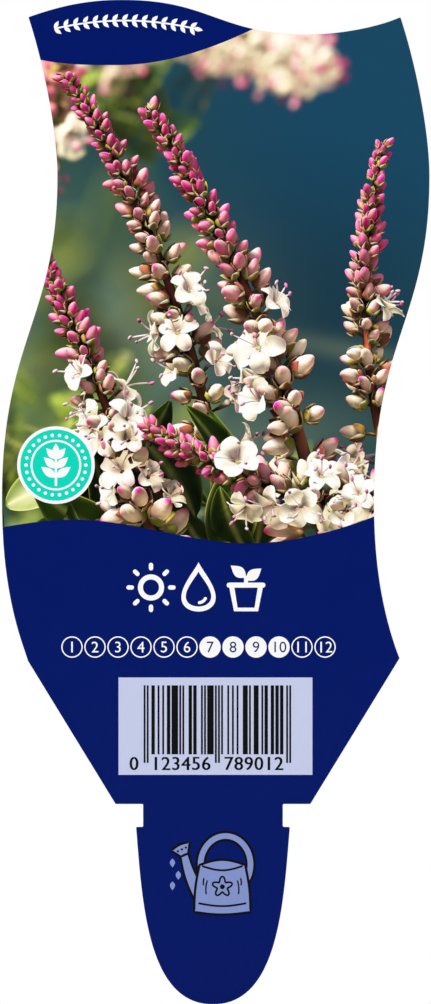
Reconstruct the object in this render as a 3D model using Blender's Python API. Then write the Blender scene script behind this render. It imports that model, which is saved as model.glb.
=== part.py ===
"""A plant label: one thin die-cut plastic sheet with a wavy head, a neck and a stake.

The sheet stands upright with its printed front towards -Y and its plain back on the plane Y = 0.
The origin is on the back, in the middle of the neck's top line, level with the undersides of the
two shoulders that rest on a pot's rim. All sizes are in millimetres until the mesh is made.
"""

import math

import bpy
import bmesh
from mathutils import Vector
from mathutils.geometry import interpolate_bezier

METRES_PER_MM = 0.001

# The sheet
SHEET_THICKNESS = 0.5
EDGE_BEVEL = 0.05
CORNER_RADIUS = 0.2
CORNER_STEPS = 4
SMALLEST_TURN = math.radians(25.0)

# The head: a band of constant width whose middle line sways right, then left
HEAD_WIDTH = 63.4
HEAD_TOP = 134.1
SWAY_AT_TOP = 0.25
SWAY_RIGHT = 5.2
SWAY_RIGHT_HEIGHT = 107.0
SWAY_LEFT = -4.25
SWAY_LEFT_HEIGHT = 52.2
SWAY_AT_FOOT = 0.25
HEAD_FOOT = 24.4

# The top edge: one wave from corner to corner, a crest left and a trough right of the middle
TOP_CREST_X = -15.55
TOP_TROUGH_X = 16.2
TOP_WAVE_HEIGHT = 2.95

# The flanks run straight from the head's foot down to the shoulders
SHOULDER_HALF_WIDTH = 16.6
FLANK_SPREAD = 0.612

# The neck between the shoulders and the stake
NECK_HALF_WIDTH = 11.9
NECK_HEIGHT = 3.9

# The stake: its sides bow gently inwards and end in a round tip
STAKE_HALF_WIDTH = 13.1
STAKE_TIP = -34.15

# How many points each stretch of curve gets
LONG_CURVE_POINTS = 44
SHORT_CURVE_POINTS = 20

# The finish
INK_COLOUR = (0.0, 0.0103, 0.130, 1.0)
INK_ROUGHNESS = 0.3


def clear_scene():
    """Remove every object that the scene holds."""
    for old in list(bpy.data.objects):
        bpy.data.objects.remove(old, do_unlink=True)


def curve(knots, counts):
    """Points along joined cubic curves; each knot is (point, handle before, handle after)."""
    points = []
    for start, end, count in zip(knots, knots[1:], counts):
        stretch = interpolate_bezier(Vector(start[0]), Vector(start[2]), Vector(end[1]),
                                     Vector(end[0]), count)
        points.extend(stretch if not points else stretch[1:])
    return points


def smooth_knot(x, z, before, after):
    """A knot whose handles lie before it and after it by the given offsets."""
    return (x, 0.0, z), (x + before[0], 0.0, z + before[1]), (x + after[0], 0.0, z + after[1])


def side_wave(offset):
    """One side of the head from its top corner down to its foot: the middle line moved across."""
    knots = [
        smooth_knot(offset + SWAY_AT_TOP, HEAD_TOP, (0.0, 0.0), (2.7, -8.2)),
        smooth_knot(offset + SWAY_RIGHT, SWAY_RIGHT_HEIGHT, (0.0, 7.3), (0.0, -24.4)),
        smooth_knot(offset + SWAY_LEFT, SWAY_LEFT_HEIGHT, (0.0, 27.2), (0.0, -6.8)),
        smooth_knot(offset + SWAY_AT_FOOT, HEAD_FOOT, (-4.15, 10.6), (0.0, 0.0)),
    ]
    return curve(knots, (SHORT_CURVE_POINTS, LONG_CURVE_POINTS, SHORT_CURVE_POINTS))


def top_wave():
    """The top edge from the left corner to the right corner."""
    half = HEAD_WIDTH / 2.0
    crest = HEAD_TOP + TOP_WAVE_HEIGHT
    trough = HEAD_TOP - TOP_WAVE_HEIGHT
    knots = [
        smooth_knot(SWAY_AT_TOP - half, HEAD_TOP, (0.0, 0.0), (3.5, 1.2)),
        smooth_knot(TOP_CREST_X, crest, (-7.3, 0.0), (15.2, 0.0)),
        smooth_knot(TOP_TROUGH_X, trough, (-15.3, 0.0), (5.9, 0.0)),
        smooth_knot(SWAY_AT_TOP + half, HEAD_TOP, (-3.4, -1.55), (0.0, 0.0)),
    ]
    return curve(knots, (SHORT_CURVE_POINTS, LONG_CURVE_POINTS, SHORT_CURVE_POINTS))


def flank_half_width(height):
    """How far the straight flanks stand from the middle at a height."""
    return SHOULDER_HALF_WIDTH + FLANK_SPREAD * height


def cut_at_flank(points):
    """The points of a side down to the place where it meets the straight flank."""
    kept = []
    for upper, lower in zip(points, points[1:]):
        kept.append(upper)
        inside = flank_half_width(upper.z) - abs(upper.x)
        outside = abs(lower.x) - flank_half_width(lower.z)
        if outside >= 0.0:
            kept.append(upper.lerp(lower, inside / (inside + outside)))
            return kept
    last = points[-1]
    foot = Vector((math.copysign(flank_half_width(last.z), last.x), 0.0, last.z))
    return kept + [foot]


def stake_side():
    """The stake's right side from the neck to the tip in the middle: one bow that tightens."""
    knots = [
        smooth_knot(STAKE_HALF_WIDTH, -NECK_HEIGHT, (0.0, 0.0), (-1.05, -13.65)),
        smooth_knot(0.0, STAKE_TIP, (11.0, 0.0), (0.0, 0.0)),
    ]
    return curve(knots, (LONG_CURVE_POINTS,))


def mirrored(points):
    """The points on the other side of the middle, in the opposite order."""
    return [Vector((-point.x, point.y, point.z)) for point in reversed(points)]


def sheet_outline():
    """The whole cut line, clockwise seen from the front, with sharp corners."""
    right_side = cut_at_flank(side_wave(HEAD_WIDTH / 2.0))
    left_side = cut_at_flank(side_wave(-HEAD_WIDTH / 2.0))
    shoulder = [
        Vector((SHOULDER_HALF_WIDTH, 0.0, 0.0)),
        Vector((NECK_HALF_WIDTH, 0.0, 0.0)),
        Vector((NECK_HALF_WIDTH, 0.0, -NECK_HEIGHT)),
    ]
    right_stake = stake_side()
    points = top_wave()
    points += right_side[1:]
    points += shoulder
    points += right_stake
    points += mirrored(right_stake)[1:]
    points += mirrored(shoulder)
    points += list(reversed(left_side))[:-1]
    return points


def rounded(points):
    """The closed outline with each sharp corner replaced by a small arc.

    The arc touches both sides of the corner, so its ends lie radius x tan(turn / 2) from it.
    """
    result = []
    for index, corner in enumerate(points):
        ahead = (points[(index + 1) % len(points)] - corner).normalized()
        behind = (points[index - 1] - corner).normalized()
        turn = math.pi - ahead.angle(behind)
        if turn < SMALLEST_TURN:
            result.append(corner)
            continue
        reach = CORNER_RADIUS * math.tan(turn / 2.0)
        centre_way = (ahead + behind).normalized()
        centre = corner + centre_way * (CORNER_RADIUS / math.cos(turn / 2.0))
        first = corner + behind * reach - centre
        last = corner + ahead * reach - centre
        for step in range(CORNER_STEPS + 1):
            spoke = first.lerp(last, step / CORNER_STEPS).normalized()
            result.append(centre + spoke * CORNER_RADIUS)
    return result


def ink_material():
    """Dark blue printed plastic with a low sheen."""
    material = bpy.data.materials.new("ink_blue")
    material.use_nodes = True
    shader = material.node_tree.nodes["Principled BSDF"]
    shader.inputs["Base Color"].default_value = INK_COLOUR
    shader.inputs["Roughness"].default_value = INK_ROUGHNESS
    shader.inputs["Metallic"].default_value = 0.0
    return material


def label_sheet():
    """The sheet: the outline filled, extruded to its thickness and eased along its edges."""
    mesh = bpy.data.meshes.new("label_sheet")
    shape = bmesh.new()
    corners = [shape.verts.new(point * METRES_PER_MM) for point in rounded(sheet_outline())]
    back = shape.faces.new(corners)
    extruded = bmesh.ops.extrude_face_region(shape, geom=[back])
    front_corners = [item for item in extruded["geom"] if isinstance(item, bmesh.types.BMVert)]
    towards_front = Vector((0.0, -SHEET_THICKNESS * METRES_PER_MM, 0.0))
    bmesh.ops.translate(shape, verts=front_corners, vec=towards_front)
    bmesh.ops.recalc_face_normals(shape, faces=shape.faces)
    shape.to_mesh(mesh)
    shape.free()
    mesh.materials.append(ink_material())

    sheet = bpy.data.objects.new("label_sheet", mesh)
    bpy.context.scene.collection.objects.link(sheet)
    bevel = sheet.modifiers.new("eased_edges", "BEVEL")
    bevel.width = EDGE_BEVEL * METRES_PER_MM
    bevel.segments = 1
    bevel.limit_method = "ANGLE"
    bevel.angle_limit = math.radians(60.0)
    bevel.use_clamp_overlap = False
    return sheet


clear_scene()
label_sheet()
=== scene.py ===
"""The looks of a printed plant label: its plastic, its inks and the flower picture printed on it.

Sizes are in millimetres and become metres when a mesh is made. X runs to the reader's right, Z up
and -Y out of the printed front. Every print lies a few hundredths of a millimetre proud of the sheet.
"""

import math
from collections import defaultdict
from itertools import groupby

import bpy
import numpy as np
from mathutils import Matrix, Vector


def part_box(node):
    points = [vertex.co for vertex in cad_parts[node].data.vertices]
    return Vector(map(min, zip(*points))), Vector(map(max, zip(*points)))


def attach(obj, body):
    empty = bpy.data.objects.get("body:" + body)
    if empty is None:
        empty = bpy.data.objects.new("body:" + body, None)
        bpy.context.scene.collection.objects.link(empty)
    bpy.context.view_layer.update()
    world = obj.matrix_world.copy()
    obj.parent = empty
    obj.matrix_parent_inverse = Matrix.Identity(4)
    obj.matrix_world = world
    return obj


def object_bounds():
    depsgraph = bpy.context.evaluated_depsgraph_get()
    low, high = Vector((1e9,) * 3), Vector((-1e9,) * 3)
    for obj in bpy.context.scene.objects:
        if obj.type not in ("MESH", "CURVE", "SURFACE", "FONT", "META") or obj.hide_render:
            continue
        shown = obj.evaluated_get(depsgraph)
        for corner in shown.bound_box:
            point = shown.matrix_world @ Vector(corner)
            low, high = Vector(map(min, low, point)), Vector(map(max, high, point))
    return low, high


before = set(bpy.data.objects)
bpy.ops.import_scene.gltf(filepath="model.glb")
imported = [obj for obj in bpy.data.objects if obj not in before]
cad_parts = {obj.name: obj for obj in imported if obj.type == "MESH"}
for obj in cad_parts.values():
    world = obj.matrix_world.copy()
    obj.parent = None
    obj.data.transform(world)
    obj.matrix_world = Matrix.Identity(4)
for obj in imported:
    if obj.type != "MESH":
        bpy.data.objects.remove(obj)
cad_low, cad_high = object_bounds()

MM = 0.001
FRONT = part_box("label_sheet")[0].y / MM
LABEL_LOW = cad_low.z / MM
LABEL_MIDDLE = Vector((0.0, 0.0, (cad_low.z + cad_high.z) / 2))

# The photograph's frame, in pixels, and where the label's origin lies in it
PHOTO_WIDTH, PHOTO_HEIGHT = 431, 1004
ORIGIN_COLUMN, ORIGIN_ROW = 212.95, 804
PIXEL = 0.17041

# How far each layer of print stands out from the sheet's front
SUNK = -0.010
EDGE_PROUD = 0.004
PICTURE_GROUND = 0.012
PLANT_FURTHEST = 0.020
PLANT_NEAREST = 0.085
PLANT_THICKNESS = 0.006
HAIR = 0.0004
FIRST_INK = 0.020
SECOND_INK = 0.030
BADGE_INKS = (0.094, 0.102, 0.110)
STAGGER = 0.0008
EMBLEM_STEP = 0.003

# Ink colours, linear
NAVY = (0.0, 0.0080, 0.128)
WHITE = (0.93, 0.93, 0.94)
CORE_WHITE = (0.86, 0.86, 0.85)
PANEL = (0.560, 0.603, 0.810)
BLACK = (0.004, 0.004, 0.005)
TURQUOISE = (0.004, 0.680, 0.491)
PERIWINKLE = (0.231, 0.292, 0.591)

# Where the printed fields end: (x, z, slope) along each wavy border, and how high the head lies
BAND_BORDER = ((-30.0, 126.97, -0.232), (-16.35, 125.93, 0.0), (8.0, 132.64, 0.495))
FIELD_BORDER = ((-36.2, 47.09, 0.183), (-23.5, 48.45, 0.0), (5.9, 44.42, 0.0), (28.5, 49.4, 0.394))
HEAD_LOW, HEAD_MIDDLE = 30.0, 80.0

# The upright line that the pictograms and the months are centred on
CARE_MIDDLE_X = -2.46


# Small tools for arrays of points


def unit(vectors):
    """Each vector divided by its length."""
    return vectors / np.maximum(np.linalg.norm(vectors, axis=-1, keepdims=True), 1e-9)


def mixed(first, second, share):
    """first x (1 - share) + second x share, for numbers or rows of numbers."""
    return first + (second - first) * share


def eased(low, high, values):
    """0 below low, 1 above high and the smooth step 3t^2 - 2t^3 between."""
    t = np.clip((values - low) / (high - low), 0.0, 1.0)
    return t * t * (3.0 - 2.0 * t)


def wave(x, knots):
    """A wavy line's height at x: cubic Hermite stretches between knots (x, height, slope).

    With t the share of the way along a stretch and w its width, the height is
    z0 (1 + 2t)(1 - t)^2 + z1 t^2 (3 - 2t) + w (m0 t (1 - t)^2 - m1 t^2 (1 - t)).
    """
    at, height, slope = np.array(knots).T
    i = np.clip(np.searchsorted(at, x) - 1, 0, len(at) - 2)
    width = at[i + 1] - at[i]
    t = (x - at[i]) / width
    level = height[i] * (1 + 2 * t) * (1 - t) ** 2 + height[i + 1] * t * t * (3 - 2 * t)
    return level + width * (slope[i] * t * (1 - t) ** 2 - slope[i + 1] * t * t * (1 - t))


# Meshes


def placed(name, data):
    """An object in the scene that shows the data."""
    thing = bpy.data.objects.new(name, data)
    bpy.context.scene.collection.objects.link(thing)
    return thing


def mesh_piece(name, points, faces, smooth=False):
    """A mesh object from points in millimetres and arrays of faces, all of one length in each."""
    mesh = bpy.data.meshes.new(name)
    corners = np.concatenate([group.ravel() for group in faces]).astype(np.int32)
    sizes = np.concatenate([np.full(len(group), group.shape[1]) for group in faces])
    starts = np.concatenate([[0], np.cumsum(sizes)[:-1]]).astype(np.int32)
    mesh.vertices.add(len(points))
    mesh.vertices.foreach_set("co", (np.asarray(points) * MM).astype(np.float32).ravel())
    mesh.loops.add(len(corners))
    mesh.loops.foreach_set("vertex_index", corners)
    mesh.polygons.add(len(sizes))
    mesh.polygons.foreach_set("loop_start", starts)
    mesh.polygons.foreach_set("use_smooth", np.full(len(sizes), smooth))
    mesh.update(calc_edges=True)
    mesh.validate()
    return placed(name, mesh)


def read(rows, name, width=1, kind=np.int32):
    """A property of all rows of a mesh, such as its points, as an array."""
    values = np.empty(len(rows) * width, kind)
    rows.foreach_get(name, values)
    return values.reshape(-1, width)


def points_of(mesh):
    """A mesh's points, in the mesh's own units."""
    return read(mesh.vertices, "co", 3, np.float32)


def finished(piece, finish):
    """The piece with its finish, riding on the label."""
    piece.data.materials.append(finish)
    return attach(piece, "root")


# Shader maths


class Value:
    """A shader output; arithmetic on it adds Math nodes."""

    def __init__(self, finish, output):
        self.finish = finish
        self.output = output

    def maths(self, operation, first, second):
        return self.finish.node("ShaderNodeMath", {"operation": operation}, (first, second))

    def __add__(self, other):
        return self.maths("ADD", self, other)

    def __mul__(self, other):
        return self.maths("MULTIPLY", self, other)

    def __sub__(self, other):
        return self.maths("SUBTRACT", self, other)

    def __rsub__(self, other):
        return self.maths("SUBTRACT", other, self)

    __radd__ = __add__
    __rmul__ = __mul__


class Finish:
    """A material that is built up from nodes, on one Principled shader."""

    def __init__(self, name, colour, roughness):
        self.material = bpy.data.materials.new(name)
        self.material.use_nodes = True
        self.tree = self.material.node_tree
        self.shader = self.tree.nodes["Principled BSDF"]
        self.shader.inputs["Base Color"].default_value = (*colour, 1.0)
        self.shader.inputs["Roughness"].default_value = roughness
        self.shader.inputs["Specular IOR Level"].default_value = 0.12

    def node(self, kind, settings=None, inputs=(), output=0):
        """A node of a kind: its settings first, then its inputs by place or by name."""
        made = self.tree.nodes.new(kind)
        for key, value in (settings or {}).items():
            setattr(made, key, value)
        pairs = inputs.items() if isinstance(inputs, dict) else enumerate(inputs)
        for key, value in pairs:
            self.put(made.inputs[key], value)
        return Value(self, made.outputs[output])

    def put(self, socket, value):
        """Link or set a socket."""
        if isinstance(value, Value):
            self.tree.links.new(value.output, socket)
        else:
            socket.default_value = value

    def noise(self, size_mm, detail=2.0):
        """Cloudy noise from 0 to 1 whose patches are about size_mm wide."""
        place = self.node("ShaderNodeTexCoord", output="Object")
        inputs = {"Vector": place, "Scale": 1.0 / (size_mm * MM), "Detail": detail}
        return self.node("ShaderNodeTexNoise", {}, inputs)

    def colours(self, share, first, second, blend="MIX"):
        """A colour between two, by a share from 0 to 1."""
        settings = {"data_type": "RGBA", "blend_type": blend}
        return self.node("ShaderNodeMix", settings, {0: share, 6: first, 7: second}, output=2)

    def bump(self, height, depth_mm):
        """Ripples of a height from 0 to 1, depth_mm deep."""
        inputs = {"Strength": 1.0, "Distance": depth_mm * MM, "Height": height}
        self.put(self.shader.inputs["Normal"], self.node("ShaderNodeBump", {}, inputs))


def film(finish, gloss):
    """The look of ink under a thin clear film: cloudy gloss and a faint skin of ripples."""
    clouds = finish.noise(6.0)
    grain = finish.noise(0.9, 3.0)
    finish.put(finish.shader.inputs["Roughness"], gloss - 0.06 + clouds * 0.08 + grain * 0.05)
    finish.bump(grain * 0.7 + clouds * 0.3, depth_mm=0.003)
    return clouds, grain


def plain_finish(name, colour, gloss=0.22, mottle=0.05):
    """One flat colour, a little uneven where it was laid on."""
    finish = Finish(name, colour, gloss)
    clouds, grain = film(finish, gloss)
    thin = tuple(part * (1.0 - mottle) for part in colour)
    laid = finish.colours(clouds * 0.5 + grain * 0.5, (*thin, 1.0), (*colour, 1.0))
    finish.put(finish.shader.inputs["Base Color"], laid)
    return finish.material


def picture_finish(name):
    """Four-colour print: each point's colour is the piece's own, with a faint screen grain."""
    finish = Finish(name, (0.2, 0.2, 0.2), 0.3)
    film(finish, 0.2)
    printed = finish.node("ShaderNodeAttribute", {"attribute_name": "print"}, output="Color")
    screen = finish.noise(0.22, 1.0)
    dark = finish.colours(1.0, printed, (0.93, 0.93, 0.93, 1.0), "MULTIPLY")
    finish.put(finish.shader.inputs["Base Color"], finish.colours(screen, dark, printed))
    return finish.material


# The sheet's cut edge


def cut_edge(sheet, finish):
    """The white plastic that shows along the cut: the sheet's side walls, moved out a hair.

    A corner moves along the mean of its walls' normals. The outer and the inner copy are joined
    along their free edges, which are those that run along one wall only.
    """
    corners = (points_of(sheet.data) / MM).round(4)
    points, corner = np.unique(corners, axis=0, return_inverse=True)
    walls = corner.ravel()[read(sheet.data.loops, "vertex_index")].reshape(-1, 3)
    a, b, c = points[walls].transpose(1, 0, 2)
    normals = unit(np.cross(b - a, c - a))
    upright = np.abs(normals[:, 1]) < 0.2
    walls = walls[upright]
    outwards = np.zeros(points.shape)
    np.add.at(outwards, walls, normals[upright][:, None])
    outwards = unit(outwards)
    n = len(points)
    edges = np.stack([walls, np.roll(walls, -1, axis=1)], -1).reshape(-1, 2)
    free = edges[~np.isin(edges @ (n, 1), edges @ (1, n))]
    rims = np.concatenate([free[:, ::-1], free + n], axis=1)
    used = np.unique(walls)
    renumbered = np.zeros(2 * n, int)
    renumbered[np.concatenate([used, used + n])] = np.arange(2 * len(used))
    copies = np.vstack([(points + EDGE_PROUD * outwards)[used], (points + SUNK * outwards)[used]])
    faces = [renumbered[walls], renumbered[walls[:, ::-1] + n], renumbered[rims]]
    finished(mesh_piece("cut_edge", copies, faces), finish)


# Flat prints: closed slabs that are sunk a little into the sheet


def arc(x, z, radius, start, end, count=24):
    """Points on an arc about (x, z) between two angles in degrees; radius may be (wide, tall)."""
    turn = np.radians(np.linspace(start, end, count))
    return np.stack([np.cos(turn), np.sin(turn)], 1) * radius + (x, z)


def circle(x, z, radius, sides):
    """Points all round a circle."""
    return arc(x, z, radius, 0.0, 360.0, sides + 1)[:-1]


class Print:
    """One ink's shapes, gathered into a single piece.

    Shapes that overlap would share one plane, so each stands a hair prouder than the one before.
    """

    def __init__(self, name, finish, slot, height):
        self.name = name
        self.finish = finish
        self.slot = slot
        self.height = height
        self.points = []
        self.faces = []
        self.shapes = 0
        self.count = 0

    def front(self):
        """Where the next shape's front lies."""
        return FRONT - self.height - STAGGER * (self.shapes % 8)

    def add(self, points, faces):
        """Take up more points, and the faces that join them."""
        self.points.append(points)
        self.faces.extend(group + self.count for group in faces)
        self.count += len(points)
        self.shapes += 1

    def patch(self, outline, middle=None):
        """A flat shape whose whole outline can be seen from its middle.

        The outline runs anticlockwise as the reader sees it. Front and back are fans of triangles
        about the middle, joined by a rim.
        """
        outline = np.asarray(outline, float)
        middle = outline.mean(0) if middle is None else np.asarray(middle, float)
        n = len(outline)
        flat = np.vstack([outline, middle])
        front = np.insert(flat, 1, self.front(), axis=1)
        back = np.insert(flat, 1, FRONT - SUNK, axis=1)
        here = np.arange(n)
        ahead = (here + 1) % n
        fan = np.stack([here, ahead, np.full(n, n)], 1)
        rear = np.stack([ahead, here, np.full(n, n)], 1) + n + 1
        rim = np.stack([ahead, here, here + n + 1, ahead + n + 1], 1)
        self.add(np.vstack([front, back]), [fan, rear, rim])

    def disc(self, x, z, radius, sides=40):
        """A round patch."""
        self.patch(circle(x, z, radius, sides))

    def ring(self, x, z, radius, width, sides=48):
        """A round line."""
        self.stroke(circle(x, z, radius, sides), width, closed=True)

    def bar(self, left, right, low, high):
        """An upright rectangle."""
        self.patch([(left, low), (right, low), (right, high), (left, high)])

    def stroke(self, path, width, closed=False):
        """A pen stroke along a path, its edges half a width left and right of each point."""
        path = np.asarray(path, float)
        half = np.broadcast_to(np.asarray(width, float) / 2, (len(path),))[:, None]
        if closed:
            run = unit(np.roll(path, -1, axis=0) - np.roll(path, 1, axis=0))
        else:
            run = unit(np.gradient(path, axis=0))
        aside = np.stack([-run[:, 1], run[:, 0]], 1) * half
        self.band(path - aside, path + aside, closed)

    def band(self, right, left, closed=True):
        """A ribbon between its right and its left edge, with four corners at each pair of points."""
        front = self.front()
        back = FRONT - SUNK
        corners = [np.insert(edge, 1, y, axis=1)
                   for edge, y in ((right, front), (left, front), (left, back), (right, back))]
        n = len(left)
        here = np.arange(n if closed else n - 1)[:, None] * 4
        ahead = (here + 4) % (4 * n)
        side = np.arange(4)[None, :]
        nextside = (side + 1) % 4
        quads = np.stack([here + side, ahead + side, ahead + nextside, here + nextside], -1)
        faces = [quads.reshape(-1, 4)]
        if not closed:
            faces.append(np.array([[0, 1, 2, 3]]))
            faces.append(np.array([[3, 2, 1, 0]]) + 4 * (n - 1))
        self.add(np.stack(corners, 1).reshape(-1, 3), faces)

    def pen_line(self, path, width):
        """A stroke with round ends: its width follows a half circle at either end."""
        path = np.asarray(path, float)
        along = np.concatenate([[0.0], np.cumsum(np.linalg.norm(np.diff(path, axis=0), axis=1))])
        total = along[-1]
        cap = (1 - np.cos(np.linspace(0.06, 0.5, 5) * np.pi)) * width / 2
        inner = np.linspace(width / 2, total - width / 2, max(3, len(path)))[1:-1]
        at = np.concatenate([cap, inner, total - cap[::-1]])
        edge = np.minimum(np.minimum(at, total - at) / (width / 2), 1.0)
        line = np.stack([np.interp(at, along, path[:, 0]), np.interp(at, along, path[:, 1])], 1)
        self.stroke(line, width * np.sqrt(np.maximum(1 - (1 - edge) ** 2, 0.0)))

    def leaf(self, x, z, length, width, turn, sides=10):
        """A leaf from a foot at (x, z): its half width is W/2 sin(pi t) (1.15 - 0.45 t)."""
        t = np.linspace(0.0, 1.0, sides)
        half = width / 2 * np.sin(np.pi * t) * (1.15 - 0.45 * t)
        over = np.stack([t * length, half], 1)[::-1]
        under = np.stack([t * length, -half], 1)[1:-1]
        outline = np.vstack([under, over])
        cos, sin = math.cos(turn), math.sin(turn)
        turned = outline @ np.array([[cos, sin], [-sin, cos]])
        self.patch(turned + (x, z), middle=(x + cos * length / 2, z + sin * length / 2))

    def digits(self, text, x, z, height, weight=0.0):
        """Plain numbers centred on (x, z); bold ones are struck twice, weight apart."""
        curve = bpy.data.curves.new(self.name, "FONT")
        curve.body = text
        curve.align_x = "CENTER"
        curve.resolution_u = 4
        curve.extrude = 0.01
        writing = placed(self.name, curve)
        mesh = bpy.data.meshes.new_from_object(writing)
        bpy.data.objects.remove(writing)
        across, up, out = points_of(mesh).T
        mesh.calc_loop_triangles()
        corners = read(mesh.loop_triangles, "vertices", 3)
        bpy.data.meshes.remove(mesh)
        middle = up.min() + np.ptp(up) / 2
        flat = np.stack([across, up - middle], 1) * (height / np.ptp(up)) + (x, z)
        for strike in (-0.5, 0.5) if weight else (0.0,):
            lift = np.where(out > 0, self.front(), FRONT - SUNK)
            struck = np.insert(flat + (strike * weight, 0.0), 1, lift, axis=1)
            self.add(struck, [corners])

    def lay(self):
        """Make the piece."""
        piece = mesh_piece(self.name, np.vstack(self.points), self.faces)
        return finished(piece, self.finish)


# The band's curved sprig, in white


def band_sprig(white):
    """A sprig along a round arc: pairs of small leaves, and one leaf at its end."""
    centre, radius = (-15.05, 81.0), 52.5
    span, pairs, leaf, lean = 13.2, 15, (1.5, 0.74), 0.85
    start, end = 90.0 + span, 90.0 - span
    sprig = Print("band_sprig", white, "white_ink", FIRST_INK)
    sprig.pen_line(arc(*centre, radius, start, end, 60), 0.28)
    spread = (start, end + 0.9, pairs)
    for degrees, foot in zip(np.linspace(*spread), arc(*centre, radius, *spread)):
        for side in (-1.0, 1.0):
            sprig.leaf(*foot, *leaf, math.radians(degrees - 90.0) + side * lean)
    x, z = arc(*centre, radius, start, end, 60)[-1]
    sprig.leaf(x - 0.3, z + 0.1, 1.7, 0.8, math.radians(-span))
    sprig.lay()


# The row of care pictograms, in white


def teardrop(x, z, wide, low, high, count=64):
    """A drop between its lowest and its highest point: 1.32 w sin(t) sin(t / 2)^1.5 across, cos(t) up."""
    t = np.linspace(0.0, 2 * np.pi, count, endpoint=False)
    across = -1.32 * wide * np.sin(t) * np.sin(t / 2) ** 1.5
    up = mixed(low, high, 0.5 + 0.5 * np.cos(t))
    return np.stack([x + across, z + up], 1)


def care_row(white):
    """Three pictograms side by side: a sun, a drop and a pot with a seedling."""
    row = Print("care_pictograms", white, "white_ink", FIRST_INK)
    middle_z, pitch, pen = 36.9, 8.1, 0.86
    sun_x, drop_x, pot_x = CARE_MIDDLE_X - pitch, CARE_MIDDLE_X, CARE_MIDDLE_X + pitch

    row.ring(sun_x, middle_z, 1.8, pen)
    for way in circle(0.0, 0.0, 1.0, 8):
        row.pen_line((sun_x, middle_z) + np.outer((2.9, 4.2), way), pen * 0.85)

    row.band(teardrop(drop_x, middle_z, 3.15, -4.1, 4.35),
             teardrop(drop_x, middle_z, 2.35, -3.25, 2.75))
    row.pen_line(arc(drop_x, middle_z - 1.3, 1.3, 265.0, 345.0), pen * 0.6)

    foot, rim, fork = middle_z - 3.75, middle_z + 0.4, middle_z + 2.0
    row.stroke([(pot_x - 2.5, rim), (pot_x - 1.75, foot), (pot_x + 1.75, foot), (pot_x + 2.5, rim)],
               pen)
    row.pen_line([(pot_x - 3.3, rim), (pot_x + 3.3, rim)], pen)
    row.pen_line([(pot_x, rim), (pot_x, fork)], pen * 0.8)
    for leaf_z, degrees in ((fork - 0.8, 38.0), (fork - 0.3, 142.0)):
        row.leaf(pot_x, leaf_z, 3.3, 2.0, math.radians(degrees))
    row.lay()


# The months' strip, in white and navy


def month_strip(white, navy):
    """Twelve numbered rings, those of the flowering months filled."""
    middle_z, pitch, radius, height = 26.75, 3.92, 1.72, 1.85
    flowering = range(7, 11)
    rings = Print("month_rings", white, "white_ink", FIRST_INK)
    dark = Print("month_numbers_dark", navy, "printed_plastic", SECOND_INK)
    for month in range(1, 13):
        x = CARE_MIDDLE_X + (month - 6.5) * pitch
        if month in flowering:
            rings.disc(x, middle_z, radius + 0.1)
        else:
            rings.ring(x, middle_z, radius, 0.2)
        numbers = dark if month in flowering else rings
        numbers.digits(str(month), x, middle_z, height)
    rings.lay()
    dark.lay()


# The bar code panel


BAR_DIGITS = "0123456789012"
NARROW_SETS = ("0001101", "0011001", "0010011", "0111101", "0100011",
               "0110001", "0101111", "0111011", "0110111", "0001011")


def bar_modules():
    """The 95 dark and light modules: guards, six left digits, guard, six right digits, guard.

    The counting-up number starts with a nought, so that all left digits use one set, and the right
    digits use the same set with dark and light swapped.
    """
    left = "".join(NARROW_SETS[int(digit)] for digit in BAR_DIGITS[1:7])
    right = "".join(NARROW_SETS[int(digit)] for digit in BAR_DIGITS[7:])
    swapped = right.translate(str.maketrans("01", "10"))
    return "101" + left + "01010" + swapped + "101"


def bar_code_panel(lilac, black):
    """A pale panel with dark bars and their plain numbers.

    Each bar spreads a little past its modules, as ink does. The guards reach further down.
    """
    panel = Print("bar_code_panel", lilac, "panel_print", FIRST_INK)
    panel.bar(left=-16.09, right=16.95, low=4.97, high=21.56)
    panel.lay()

    module, spread, first = 0.264, 0.03, -11.78
    top, foot, guard_foot = 20.22, 8.46, 7.0
    guards = (*range(0, 3), *range(45, 50), *range(92, 95))
    bars = Print("bar_code_bars", black, "panel_print", SECOND_INK)
    start = 0
    for shade, run in groupby(bar_modules()):
        end = start + len(list(run))
        if shade == "1":
            low = guard_foot if start in guards else foot
            bars.bar(first + start * module - spread, first + end * module + spread, low, top)
        start = end

    digit_z, height, pitch, weight = 6.9, 2.25, 1.713, 0.12
    bars.digits(BAR_DIGITS[0], first - 1.67, digit_z, height, weight)
    for number, digit in enumerate(BAR_DIGITS[1:]):
        middle = (24, 71)[number // 6]
        x = first + middle * module + (number % 6 - 2.5) * pitch
        bars.digits(digit, x, digit_z, height, weight)
    bars.lay()


# The round badge on the picture


def round_badge(white, turquoise):
    """A turquoise roundel in a white rim, with a ring of dots and a line round a white sprig."""
    x, z, radius = -26.76, 57.75, 6.62
    rim, field, lines = BADGE_INKS
    edge = Print("badge_rim", white, "white_ink", rim)
    edge.disc(x, z, radius, sides=72)
    edge.lay()
    face = Print("badge_face", turquoise, "badge_print", field)
    face.disc(x, z, radius - 0.55, sides=72)
    face.lay()
    motif = Print("badge_motif", white, "white_ink", lines)
    motif.ring(x, z, 4.15, 0.34, sides=64)
    for dot in circle(x, z, 5.1, 26):
        motif.disc(*dot, 0.3, sides=16)
    for side in (-1.0, 1.0):
        for tier in range(3):
            turn = math.pi / 2 - side * (0.95 - 0.12 * tier)
            motif.leaf(x, z - 2.1 + 1.55 * tier, 3.1 - 0.3 * tier, 1.5 - 0.1 * tier, turn)
    motif.leaf(x, z + 1.2, 2.5, 1.35, math.pi / 2)
    motif.pen_line([(x, z - 3.6), (x, z + 1.6)], 0.42)
    motif.lay()


# The stake's emblem


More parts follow.
